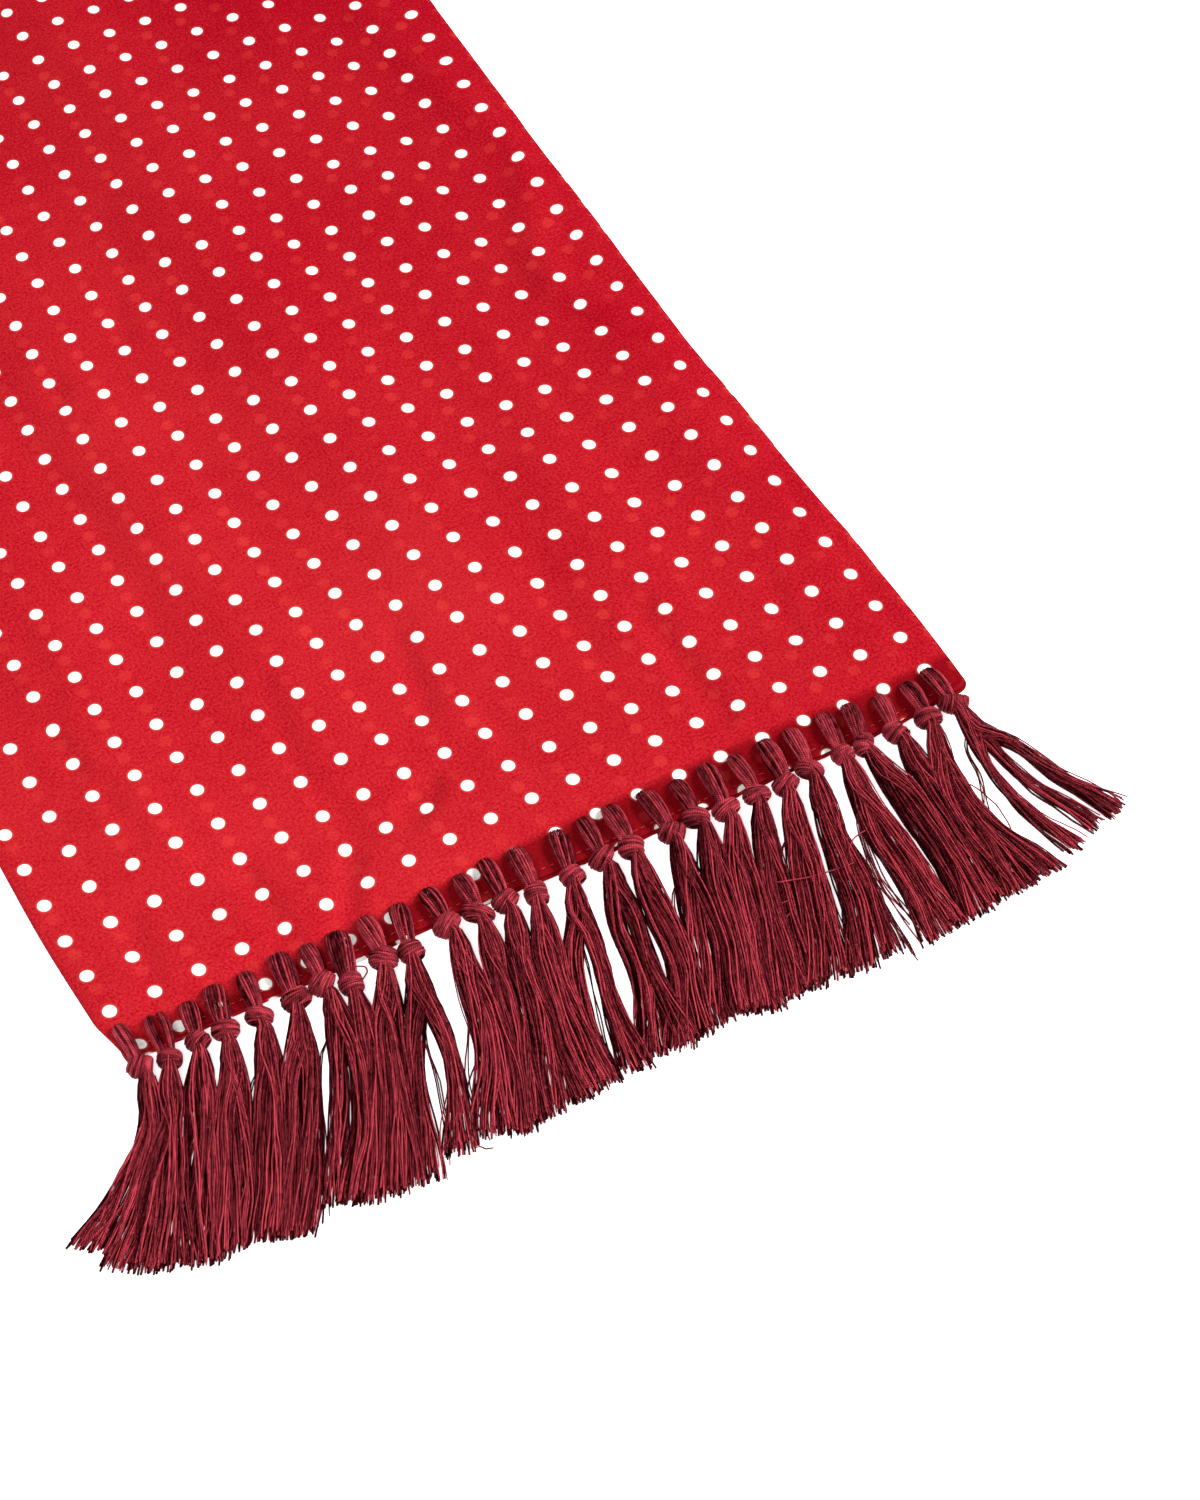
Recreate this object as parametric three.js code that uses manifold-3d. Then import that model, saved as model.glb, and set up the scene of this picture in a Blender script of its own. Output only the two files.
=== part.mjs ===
// A long flat scarf of printed silk with knotted tassels, laid out on a table.
// One silk rectangle is folded along its left edge and sewn along its right edge into a flat
// tube. Both open ends are turned in and stitched, and a row of tassels is drawn through each.
// Millimetres, +Z up. X runs across the scarf, Y along it, and the near end points to -Y.
// The far half is the near half turned by half a turn about Z.
import * as THREE from "three";
import { mergeVertices } from "three/addons/utils/BufferGeometryUtils.js";
import Module from "manifold-3d";

const wasm = await Module();
wasm.setup();

// The flat tube: its size from fold to seam and from hem to hem
const clothWidth = 250;
const clothLength = 1400;
const wallThickness = 1;
const seamGap = 0.3;

// The mesh of each layer: its rows stand closer towards the hems
const frontColumns = 10;
const backColumns = 4;
const layerRows = 40;
const rowPacking = 1.6;

// Both corners of a hem are softened inwards, and only close to the edges
const cornerInset = 2.4;
const cornerLength = 11;
const cornerTightness = 9;

// How the cloth lies, by distance from the hem: drift moves a row sideways, skew is how far
// its seam end lies ahead of its fold end, and bow is how far its middle lies ahead of both.
const layTable = [
  { from: 0, drift: 0, skew: -10.5, bow: 1 },
  { from: 75, drift: -1.5, skew: -0.5, bow: 2.5 },
  { from: 150, drift: -2.2, skew: 4.5, bow: 4 },
  { from: 225, drift: -1.6, skew: 5, bow: 5.5 },
  { from: 300, drift: 1, skew: 2, bow: 7 },
  { from: 450, drift: 2, skew: 0, bow: 4 },
  { from: 700, drift: 0, skew: 0, bow: 0 },
];

// Soft folds of the upper layer. Each is a ridge between two places on the cloth, given by
// their distance across from the fold edge and along from the hem.
const foldTable = [
  { across: 38, along: 60, toAcross: 46, toAlong: 330, height: 1.6, reach: 26 },
  { across: 92, along: 66, toAcross: 78, toAlong: 300, height: 1.3, reach: 24 },
  { across: 152, along: 90, toAcross: 138, toAlong: 420, height: 1.5, reach: 28 },
  { across: 238, along: 300, toAcross: 221, toAlong: 186, height: 2.6, reach: 20 },
  { across: 221, along: 186, toAcross: 214, toAlong: 108, height: 2.2, reach: 20 },
  { across: 190, along: 120, toAcross: 189, toAlong: 60, height: 1.2, reach: 22 },
  { across: 62, along: 370, toAcross: 96, toAlong: 610, height: 1.8, reach: 27 },
  { across: 196, along: 380, toAcross: 172, toAlong: 640, height: 2, reach: 27 },
];

// A tassel: a bundle of threads drawn through the hem, knotted just outside it and let fall
const tasselPitch = 8.75;
const firstTassel = 5;
const holeInset = 7.4;
const loopWidth = 3;
const loopThickness = 1.4;
const loopFloorGap = 0.3;
const knotCentreHeight = 3.2;
const knotHalfSize = { across: 2.9, along: 2.2, up: 2.6 };

// The loose threads of a tassel are three-sided locks. A lock comes down from its knot over
// its first step, which is its shorter one, and then runs level just above the table.
const lockCount = 3;
const lockSides = 3;
const lockSteps = 2;
const lockStepPacking = 1.5;
const lockRadius = 0.8;
const lockRootSpacing = 1.6;
const lockRestHeight = 1;

// The cloth rides up over the threads that run under each hem
const hemLift = loopFloorGap + loopThickness + seamGap;
const hemLiftFlat = 18;
const hemLiftEnd = 52;

// The tassels from the fold edge to the seam edge: shift from even spacing, reach of the knot
// beyond the hem, slip of the knot sideways from its hole, length of the loose threads from
// the knot, their lean in degrees from straight out, and the width that they fan out to.
const tasselTable = [
  { shift: -0.3, reach: 3.3, slip: 0.6, length: 51, lean: -36, spread: 17 },
  { shift: 0.5, reach: 5.2, slip: -1.7, length: 58, lean: -31, spread: 11 },
  { shift: 0.4, reach: 3.9, slip: -2.4, length: 59, lean: -27, spread: 10 },
  { shift: -0.8, reach: 3.9, slip: -1.9, length: 61, lean: -26, spread: 10 },
  { shift: -1.3, reach: 4.3, slip: -1.3, length: 61, lean: -26, spread: 7 },
  { shift: -0.4, reach: 3.9, slip: -0.6, length: 64, lean: -26, spread: 10 },
  { shift: -1.3, reach: 2.6, slip: -0.6, length: 62, lean: -25, spread: 8 },
  { shift: -2, reach: 6.3, slip: -2.1, length: 61, lean: -26, spread: 9 },
  { shift: -2.4, reach: 3.5, slip: -0.4, length: 63, lean: -26, spread: 10 },
  { shift: -1.5, reach: 4.3, slip: -2.9, length: 62, lean: -21, spread: 16 },
  { shift: -1.4, reach: 2.6, slip: -0.3, length: 63, lean: -18, spread: 10 },
  { shift: -1.4, reach: 2.6, slip: -0.4, length: 63, lean: -18, spread: 10 },
  { shift: -2.3, reach: 2.7, slip: -0.4, length: 62, lean: -18, spread: 10 },
  { shift: -2.7, reach: 4.4, slip: -1, length: 61, lean: -18, spread: 12 },
  { shift: 0.6, reach: 3.6, slip: -2.2, length: 61, lean: -18, spread: 13 },
  { shift: 0, reach: 2.6, slip: -1.6, length: 60, lean: -14, spread: 11 },
  { shift: -0.9, reach: 2.6, slip: -0.8, length: 59, lean: -13, spread: 11 },
  { shift: 0.1, reach: 3.4, slip: 1, length: 59, lean: -18, spread: 10 },
  { shift: 0.8, reach: 2.6, slip: -0.1, length: 61, lean: -18, spread: 9 },
  { shift: 1.1, reach: 3.5, slip: -0.5, length: 61, lean: -21, spread: 11 },
  { shift: 0.8, reach: 3.8, slip: -0.1, length: 61, lean: -22, spread: 9 },
  { shift: 0.8, reach: 4.5, slip: -0.9, length: 60, lean: -23, spread: 8 },
  { shift: 0.4, reach: 2.9, slip: -1.3, length: 62, lean: -20, spread: 11 },
  { shift: 2.1, reach: 2.9, slip: -1.4, length: 63, lean: -18, spread: 12 },
  { shift: 0.7, reach: 2.6, slip: -2.1, length: 63, lean: -12, spread: 14 },
  { shift: 0.5, reach: 2.9, slip: -1.2, length: 58, lean: -5, spread: 15 },
  { shift: 0.6, reach: 3.1, slip: 0, length: 58, lean: -1.5, spread: 17 },
  { shift: -1.1, reach: 3.2, slip: 1, length: 55, lean: 15, spread: 20 },
];

const silk = new THREE.MeshStandardMaterial({ color: 0xcf212c, roughness: 0.6, metalness: 0 });
const lining = new THREE.MeshStandardMaterial({ color: 0xb81c27, roughness: 0.65, metalness: 0 });
const thread = new THREE.MeshStandardMaterial({ color: 0x7d2630, roughness: 0.75, metalness: 0 });

const layCurve = new THREE.CubicInterpolant(
  layTable.map((row) => row.from),
  layTable.flatMap((row) => [row.drift, row.skew, row.bow]),
  3,
);

// The place on the table of a point of the near half, given across from the fold edge and
// along from the hem; a point outside the hem carries on straight from it.
function layNear(across, along) {
  const [drift, skew, bow] = layCurve.evaluate(Math.max(along, 0));
  const side = (2 * across) / clothWidth - 1;
  const corner = Math.max(0, 1 - Math.max(along, 0) / cornerLength) ** 2;
  const inset = cornerInset * corner * side ** cornerTightness;
  const x = (side * clothWidth) / 2 + drift - inset;
  const y = along - clothLength / 2 + (skew * side) / 2 + bow * (1 - side ** 2);
  return new THREE.Vector2(x, y);
}

// The height of the soft folds at a point of the near half
function foldHeight(across, along) {
  const point = new THREE.Vector3(across, along, 0);
  const nearest = new THREE.Vector3();
  let height = 0;
  for (const fold of foldTable) {
    const start = new THREE.Vector3(fold.across, fold.along, 0);
    const end = new THREE.Vector3(fold.toAcross, fold.toAlong, 0);
    new THREE.Line3(start, end).closestPointToPoint(point, true, nearest);
    const away = Math.min(nearest.distanceTo(point) / fold.reach, 1);
    height = Math.max(height, (fold.height * (1 + Math.cos(Math.PI * away))) / 2);
  }
  return height;
}

// How far the cloth is lifted at a distance from the hem
function liftAt(along) {
  return hemLift * (1 - THREE.MathUtils.smoothstep(along, hemLiftFlat, hemLiftEnd));
}

// One layer as a box bent to lie as the cloth does; beyond halfway its points are placed as
// those of the near half and then turned by half a turn about Z.
function bendLayer(columns, heightAt) {
  const geometry = new THREE.BoxGeometry(2, 2, 2, columns, layerRows, 1);
  const position = geometry.attributes.position;
  for (let i = 0; i < position.count; i += 1) {
    const turn = position.getY(i) > 0 ? -1 : 1;
    const across = (clothWidth / 2) * (1 + turn * position.getX(i));
    const along = (clothLength / 2) * (1 + turn * position.getY(i)) ** rowPacking;
    const place = layNear(across, along).multiplyScalar(turn);
    const top = position.getZ(i) > 0;
    position.setXYZ(i, place.x, place.y, heightAt(across, along) + (top ? wallThickness : 0));
  }
  return geometry;
}

// A closed geometry as a solid that can be joined and cut
function toSolid(geometry) {
  geometry.deleteAttribute("normal");
  geometry.deleteAttribute("uv");
  const merged = mergeVertices(geometry, 1e-4);
  const mesh = new wasm.Mesh({
    numProp: 3,
    vertProperties: new Float32Array(merged.attributes.position.array),
    triVerts: new Uint32Array(merged.index.array),
  });
  return new wasm.Manifold(mesh);
}

function toMesh(name, solid, material) {
  const result = solid.getMesh();
  const geometry = new THREE.BufferGeometry();
  geometry.setAttribute("position", new THREE.BufferAttribute(result.vertProperties, 3));
  geometry.setIndex(new THREE.BufferAttribute(result.triVerts, 1));
  geometry.computeVertexNormals();
  const mesh = new THREE.Mesh(geometry, material);
  mesh.name = name;
  return mesh;
}

// Where each tassel of the near end has its hole, its knot and the end of its threads
const tassels = tasselTable.map((row, index) => {
  const across = firstTassel + index * tasselPitch + row.shift;
  const hole = layNear(across, holeInset);
  const knot = layNear(across + row.slip, -row.reach);
  const lean = THREE.MathUtils.degToRad(row.lean);
  const outward = new THREE.Vector2(Math.sin(lean), -Math.cos(lean));
  const tip = knot.clone().addScaledVector(outward, row.length);
  return { hole, knot, outward, tip, length: row.length, spread: row.spread };
});

// The turn about Z that points a loop from its knot to its hole
function loopTurn(tassel) {
  const way = tassel.hole.clone().sub(tassel.knot);
  return Math.atan2(-way.x, way.y);
}

function placeAt(geometry, point, turn) {
  return geometry.rotateZ(turn).translate(point.x, point.y, 0);
}

// The slot in the cloth that a loop passes through
function makeSlot(tassel) {
  const width = loopWidth + 2 * seamGap;
  const length = loopThickness + 2 * seamGap;
  const height = 2 * (knotCentreHeight + knotHalfSize.up);
  const slot = new THREE.BoxGeometry(width, length, height);
  return placeAt(slot, tassel.hole, loopTurn(tassel));
}

// The loop: a flat ring of threads, over the hem, down through the hole and back under it
function makeLoop(tassel) {
  const holeAt = tassel.hole.distanceTo(tassel.knot);
  const slitBottom = hemLift - seamGap;
  const slitTop = hemLift + 2 * wallThickness + 2 * seamGap;
  const bottom = slitBottom - loopThickness;
  const top = slitTop + loopThickness;
  const back = holeAt + loopThickness / 2;
  const shoulder = knotHalfSize.along;
  const outline = new THREE.Shape([
    new THREE.Vector2(0, knotCentreHeight - loopThickness),
    new THREE.Vector2(shoulder, bottom),
    new THREE.Vector2(back, bottom),
    new THREE.Vector2(back, top),
    new THREE.Vector2(shoulder, top),
    new THREE.Vector2(0, knotCentreHeight + loopThickness),
  ]);
  outline.holes.push(new THREE.Path([
    new THREE.Vector2(shoulder, slitBottom),
    new THREE.Vector2(shoulder, slitTop),
    new THREE.Vector2(back - loopThickness, slitTop),
    new THREE.Vector2(back - loopThickness, slitBottom),
  ]));
  const ring = new THREE.ExtrudeGeometry(outline, { depth: loopWidth, bevelEnabled: false });
  ring.translate(0, 0, -loopWidth / 2);
  const alongX = new THREE.Vector3(1, 0, 0);
  const alongY = new THREE.Vector3(0, 1, 0);
  const alongZ = new THREE.Vector3(0, 0, 1);
  ring.applyMatrix4(new THREE.Matrix4().makeBasis(alongY, alongZ, alongX));
  return toSolid(placeAt(ring, tassel.knot, loopTurn(tassel)));
}

function makeKnot(tassel) {
  const { across, along, up } = knotHalfSize;
  const ball = new THREE.IcosahedronGeometry(1);
  ball.scale(across, along, up).translate(0, 0, knotCentreHeight);
  return toSolid(placeAt(ball, tassel.knot, loopTurn(tassel)));
}

// The width that a tassel's threads may fan out to before they reach its neighbours
function fanWidth(tassel, index) {
  const neighbours = [tassels[index - 1], tassels[index + 1]].filter(Boolean);
  const room = neighbours.map((other) => {
    const apart = other.tip.clone().sub(tassel.tip);
    return Math.abs(apart.cross(tassel.outward));
  });
  return Math.min(tassel.spread, ...room) - 2 * lockRadius - seamGap;
}

// One lock of loose threads, from inside the knot down to just above the table
function makeLock(tassel, place, width) {
  const sideways = new THREE.Vector2(-tassel.outward.y, tassel.outward.x);
  const lock = new THREE.CylinderGeometry(lockRadius, lockRadius, 1, lockSides, lockSteps);
  const position = lock.attributes.position;
  for (let i = 0; i < position.count; i += 1) {
    const run = (0.5 - position.getY(i)) ** lockStepPacking;
    const spacing = THREE.MathUtils.lerp(lockRootSpacing, width / (lockCount - 1), run);
    const centre = tassel.knot.clone().addScaledVector(tassel.outward, run * tassel.length);
    centre.addScaledVector(sideways, place * spacing + position.getX(i));
    const height = run > 0 ? lockRestHeight : knotCentreHeight;
    position.setXYZ(i, centre.x, centre.y, height + position.getZ(i));
  }
  return toSolid(lock);
}

function makeTassel(tassel, index) {
  const width = fanWidth(tassel, index);
  let bundle = makeLoop(tassel).add(makeKnot(tassel));
  for (let i = 0; i < lockCount; i += 1) {
    bundle = bundle.add(makeLock(tassel, i - (lockCount - 1) / 2, width));
  }
  return bundle;
}

function pierce(layer) {
  let pierced = toSolid(layer);
  for (const tassel of tassels) {
    const slot = makeSlot(tassel);
    pierced = pierced.subtract(toSolid(slot.clone())).subtract(toSolid(slot.rotateZ(Math.PI)));
  }
  return pierced;
}

const scarf = new THREE.Group();
const backLayer = bendLayer(backColumns, (across, along) => liftAt(along));
const frontLayer = bendLayer(frontColumns, (across, along) => (
  liftAt(along) + wallThickness + seamGap + foldHeight(across, along)
));
scarf.add(toMesh("back_layer", pierce(backLayer), lining));
scarf.add(toMesh("front_layer", pierce(frontLayer), silk));

tassels.forEach((tassel, index) => {
  const number = String(index + 1).padStart(2, "0");
  const near = toMesh(`near_tassel_${number}`, makeTassel(tassel, index), thread);
  const far = near.clone();
  far.name = `far_tassel_${number}`;
  far.rotation.z = Math.PI;
  scarf.add(near, far);
});

export default scarf;
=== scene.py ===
import math

import bpy
import numpy as np
from mathutils import Matrix, Vector


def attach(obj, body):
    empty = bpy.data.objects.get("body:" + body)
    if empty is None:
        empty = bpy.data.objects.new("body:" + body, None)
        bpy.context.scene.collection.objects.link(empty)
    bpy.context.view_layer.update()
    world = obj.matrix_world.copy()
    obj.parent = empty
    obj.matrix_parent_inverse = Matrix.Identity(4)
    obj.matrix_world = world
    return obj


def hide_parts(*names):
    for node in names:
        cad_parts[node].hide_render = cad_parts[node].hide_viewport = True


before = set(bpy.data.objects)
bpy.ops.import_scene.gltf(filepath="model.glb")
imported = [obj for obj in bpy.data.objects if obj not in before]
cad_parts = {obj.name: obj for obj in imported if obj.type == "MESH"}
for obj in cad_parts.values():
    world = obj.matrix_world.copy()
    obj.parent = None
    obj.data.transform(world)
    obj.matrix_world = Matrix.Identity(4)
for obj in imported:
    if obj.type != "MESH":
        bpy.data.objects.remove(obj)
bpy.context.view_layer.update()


# The flat silk tube: one printed rectangle folded lengthwise, so that its left edge is a
# plain fold and its right edge a hand-sewn seam. Both ends are turned in and topstitched.
# What follows is how it lies: across counts from the fold, along from the near hem.
MM = 0.001
CLOTH_WIDTH = 250.0
CLOTH_LENGTH = 1400.0
HALF_LENGTH = CLOTH_LENGTH / 2

# Distance along the print, then how the cloth lies sideways there: drift of the middle,
# widening, bulge of the middle, uneven widening, seam out, tuck by the seam
LAY_SIDEWAYS = np.array([
    (-5, 1.5, -0.9, -2.3, 1, -1.7, -1.4),
    (20, 0.7, 0, -1.8, 1, -0.9, -0.6),
    (50, 0, 0.6, -1.3, 1, -0.3, 0.1),
    (80, -0.6, 0.1, -1.3, 0.9, -0.2, 0.8),
    (110, -1, -0.1, -1.2, 0.7, -0.2, 1.3),
    (140, -1.6, -0.2, -1.3, 0.9, -0.2, 0.6),
    (170, -1.6, 0.1, -1.4, 1.4, 0.1, -0.6),
    (200, -1.3, 0.3, -1.4, 2, 0.2, -1.6),
    (240, -0.8, 0.6, -1.1, 2.4, 0, -2.1),
    (280, 0, 0.9, -0.7, 2.8, 0, -2.1),
    (330, 0.9, 1.2, -0.2, 3.1, -0.1, -1.8),
    (450, 0.6, 0.6, 0, 1, 0, 0),
    (700, 0, 0, 0, 0, 0, 0),
])

# Distance along the print, then how far it is slid lengthwise there: as a whole, seam side
# ahead of the fold side, middle ahead, uneven skew, quarters ahead, tuck by the seam
LAY_LENGTHWISE = np.array([
    (-5, -1.9, -3.4, 3.2, -2.4, -2.3, -0.7),
    (20, -1.7, -2.5, 3, -2.5, -4.9, -0.8),
    (50, -0.7, -1.7, 2.5, -2.5, -6.8, -0.3),
    (80, 0.1, -1, 1.6, -2.5, -8, 0.3),
    (110, 0.8, -0.3, 0.8, -2.3, -8.6, 0.6),
    (140, 0.7, -0.2, 0.5, -2.1, -8.7, -0.3),
    (170, 0.4, -0.1, 0.5, -2.1, -8.1, -1.7),
    (200, 0, -0.2, 0.8, -2.2, -6.8, -2.5),
    (240, -0.7, -0.6, 1.2, -2.3, -4.9, -2.8),
    (280, -1.5, -1.3, 1.7, -2.2, -2.7, -2.4),
    (330, -2.2, -1.8, 1.8, -2, -0.4, -1.7),
    (450, -1, -0.8, 0.6, -0.6, 0, 0),
    (700, 0, 0, 0, 0, 0, 0),
])

# Distance across, then how far along the print the near hem cuts it: a little askew
HEM_CUT = np.array([
    (0, 6), (35, 5), (60, 3), (85, 1.4), (120, -1.3),
    (150, -3.4), (200, -3.5), (225, -2.8), (250, -1),
])
HEM_CUT_REACH = 90.0

# The rounded corners of the ends, and the soft tuck beside the seam: where it rises and falls
FOLD_CORNER_INSET = 2.6
FOLD_CORNER_LENGTH = 13.0
FOLD_CORNER_WIDTH = 24.0
SEAM_CORNER = 3.0
TUCK_RISES = (200, 230)
TUCK_FALLS = (232, 250)

# Each tassel from the fold onwards: top of the loop (x, y), middle of the knot (x, y), width
# of the loop, width and length of the knot, degrees that its windings slant, and how far
# the loop stands open in the middle. The tassels pull the hem in where they go through it
TASSEL_TABLE = np.array([
    (-119.6, -685.1, -119.5, -698.3, 3.9, 6, 6.4, 50, 0),
    (-110.4, -686.9, -112.2, -700, 6.1, 6.1, 5.2, -20, 0.3),
    (-101.7, -688, -104, -699, 4.7, 5.8, 5.6, 35, 0),
    (-94.2, -686.8, -96.5, -699.5, 5.8, 7, 5.4, -15, 0),
    (-85.5, -687.3, -87.4, -700.3, 4.7, 7, 5.2, -30, 0),
    (-75.8, -686.5, -77.2, -700.6, 5.8, 7.6, 5.9, 10, 0),
    (-68.2, -688.1, -69.4, -699.9, 4.4, 7.2, 5.6, 40, 0),
    (-60, -688.1, -63.2, -703.6, 6.6, 6, 6.4, 0, 0),
    (-51.6, -688.1, -52.5, -701.1, 5.2, 7.4, 6.2, -35, 0),
    (-42.3, -688.8, -45.6, -703, 5, 6.4, 6.2, 15, 0.12),
    (-33.9, -688.8, -33.9, -700.5, 5, 7.8, 5.8, 30, 0),
    (-24.5, -689.3, -25.2, -701.5, 5, 8.4, 5, -40, 0),
    (-16.8, -688.3, -17.4, -701.9, 4.7, 7, 5.6, 25, 0),
    (-8.3, -689.1, -9.6, -704.1, 5.3, 5.8, 7, -10, 0),
    (3.9, -689.9, 1.1, -704, 5.3, 6.1, 6.2, 20, 0),
    (11.9, -690.1, 10.6, -703.1, 4.6, 7.6, 5, 35, 0),
    (19.6, -690.1, 18.8, -704, 5.4, 6.6, 6.6, -25, 0),
    (29.6, -690.7, 30.2, -705.6, 5.4, 6.4, 6.8, 40, 0),
    (39, -692.3, 38.1, -704.7, 4.6, 7.2, 5.6, -30, 0),
    (48.1, -691.7, 46.4, -706.5, 5.4, 7.6, 5.2, 20, 0),
    (56.1, -692.9, 55.7, -706.6, 4.6, 7.2, 4.8, -15, 0),
    (65.7, -692.8, 64, -707.8, 5.8, 7, 6, 30, 0),
    (73.7, -693.2, 72, -706.8, 4.9, 7.6, 5, -40, 0),
    (83.7, -693.4, 82.1, -707.3, 4.6, 5.8, 5.6, 15, 0),
    (91.6, -694.4, 88.6, -707.3, 4.9, 5.2, 6.8, -20, 0),
    (100.4, -696.1, 98, -708.4, 4.3, 5.6, 7, 30, 0),
    (108.8, -696.4, 108.3, -708.7, 4.7, 7.2, 5.8, -10, 0),
    (115.7, -695.4, 116.6, -708.4, 4.9, 5.2, 8, 50, 0),
])
HEM_PULL = 0.5
HEM_PULL_REACH = 2.3
HEM_PULL_LENGTH = 8.0
ACROSS_AT_HEM_MIDDLE = 124.4

# Distance across, then how far the dots of the back layer lie sideways and lengthwise from
# those of the front one
BACK_PRINT = np.array([(0, 0.3, -4.7), (125, -1.2, -7.4), (250, -4.9, -2.7)])


def smooth_rows(table, at):
    """The columns of a table at the given distances, on a smooth curve through its rows."""
    knots = table[:, 0]
    at = np.clip(at, knots[0], knots[-1])
    span = np.clip(np.searchsorted(knots, at, side="right") - 1, 0, len(knots) - 2)
    step = knots[span + 1] - knots[span]
    share = (at - knots[span]) / step
    columns = []
    for values in table[:, 1:].T:
        slope = np.gradient(values, knots)
        columns.append(
            values[span] * (2 * share**3 - 3 * share**2 + 1)
            + values[span + 1] * (3 * share**2 - 2 * share**3)
            + slope[span] * step * (share**3 - 2 * share**2 + share)
            + slope[span + 1] * step * (share**3 - share**2)
        )
    return columns


def smooth_step(value, low, high):
    share = np.clip((value - low) / (high - low), 0, 1)
    return share * share * (3 - 2 * share)


def turned(across, along):
    """The far half lies as the near one does after half a turn: its matching place and sign."""
    far = along > HALF_LENGTH
    return (
        np.where(far, CLOTH_WIDTH - across, across),
        np.where(far, CLOTH_LENGTH - along, along),
        np.where(far, -1.0, 1.0),
    )


def print_distance(across, along):
    """Distance along the print, which the hems cut askew, at a distance from the near hem."""
    near_across, near_along, _ = turned(across, along)
    cut = smooth_rows(HEM_CUT, near_across)[0]
    printed = near_along + cut * (1 - smooth_step(near_along, 0, HEM_CUT_REACH))
    return np.where(along > HALF_LENGTH, CLOTH_LENGTH - printed, printed)


def back_print(across, along):
    """Where a point lies on the print of the back layer, as (across, along)."""
    near_across, _, sign = turned(across, along)
    sideways, lengthwise = smooth_rows(BACK_PRINT, near_across)
    return across - sign * sideways, print_distance(across, along) - sign * lengthwise


def near_tassel(across):
    """From 1 where a tassel goes through the hem to 0 between two of them."""
    middle = TASSEL_TABLE[:, 0] + ACROSS_AT_HEM_MIDDLE
    away = (np.asarray(across, float)[..., None] - middle) / HEM_PULL_REACH
    return np.exp(-(away**2)).max(axis=-1)


def place(across, along):
    """Where a point of the cloth lies on the table, in millimetres."""
    near_across, near_along, sign = turned(across, along)
    printed = turned(across, print_distance(across, along))[1]
    side = 2 * near_across / CLOTH_WIDTH - 1
    hill = 1 - side**2
    tuck = smooth_step(near_across, *TUCK_RISES) * (1 - smooth_step(near_across, *TUCK_FALLS))
    seam_side = smooth_step(near_across, TUCK_RISES[0], CLOTH_WIDTH)
    drift, widen, bulge, uneven, seam_out, tuck_x = smooth_rows(LAY_SIDEWAYS, printed)
    slide, skew, bow, twist, quarters, tuck_y = smooth_rows(LAY_LENGTHWISE, printed)
    x = (
        near_across - CLOTH_WIDTH / 2 + drift + widen * side + bulge * hill
        - uneven * side * hill + seam_out * seam_side + tuck_x * tuck
    )
    y = (
        printed - HALF_LENGTH + slide + skew * side / 2 + bow * hill - twist * side * hill
        + quarters * hill * side**2 + tuck_y * tuck
    )
    fold_corner = np.clip(1 - near_along / FOLD_CORNER_LENGTH, 0, 1)
    x = x + FOLD_CORNER_INSET * fold_corner * smooth_step(near_across, FOLD_CORNER_WIDTH, 0)
    seam_corner = np.clip(1 - (CLOTH_WIDTH - near_across) / SEAM_CORNER, 0, 1)
    round_off = SEAM_CORNER * (1 - np.sqrt(1 - seam_corner**2))
    pulled = HEM_PULL * near_tassel(near_across)
    y = y + round_off * (1 - smooth_step(near_along, 0, 3 * SEAM_CORNER))
    y = y + pulled * (1 - smooth_step(near_along, 0, HEM_PULL_LENGTH))
    return sign * x, sign * y


# Soft folds of the upper layer: from (across, along) to (across, along), height and reach
FOLD_TABLE = np.array([
    (38, 60, 46, 330, 1.6, 26),
    (92, 66, 78, 300, 1.3, 24),
    (152, 90, 138, 420, 1.5, 28),
    (231, 330, 235, 280, 0.6, 9),
    (235, 280, 246, 237, 1, 9),
    (246, 237, 236, 212, 1.3, 9),
    (236, 212, 230, 198, 1.4, 9),
    (230, 198, 228, 182, 1.6, 10),
    (228, 182, 244, 148, 1.2, 9),
    (237, 150, 232, 100, 0.9, 15),
    (190, 120, 189, 60, 1.2, 22),
    (62, 370, 96, 610, 1.8, 27),
    (196, 380, 172, 640, 2, 27),
])

# Soft troughs between them, listed in the same way: from, to, depth and reach
TROUGH_TABLE = np.array([
    (245, 72, 250, 92, 1.3, 6),
    (243, 18, 247, 60, 0.8, 6),
    (187, 62, 187, 24, 1.5, 7),
    (125, 88, 121, 62, 0.9, 6),
    (133, 56, 136, 28, 0.5, 6),
    (86, 92, 82, 62, 0.6, 5),
    (82, 62, 85, 34, 0.5, 5),
    (79, 28, 69, 10, 1.3, 6),
    (54, 38, 54, 16, 1, 6),
    (48, 50, 46, 74, 0.5, 5),
    (101, 34, 108, 39, 1.9, 7),
    (22, 40, 18, 16, 0.7, 6),
    (33, 84, 35, 64, 0.6, 5),
    (28, 106, 30, 94, 1, 6),
    (36, 146, 35, 118, 0.5, 6),
    (205, 160, 210, 96, 0.35, 7),
    (168, 92, 169, 56, 0.5, 6),
    (222, 58, 218, 38, 0.6, 5),
    (71, 178, 70, 120, 0.4, 8),
    (110, 240, 108, 228, 0.6, 6),
    (82, 222, 80, 213, 0.7, 6),
])
DEEPEST_TROUGH = 1.25

# The ends lie on the tassels' lower legs: how high, and where they come down from and to
HEM_LIFT = 1.7
HEM_LIFT_FLAT = 14.0
HEM_LIFT_END = 48.0

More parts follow.
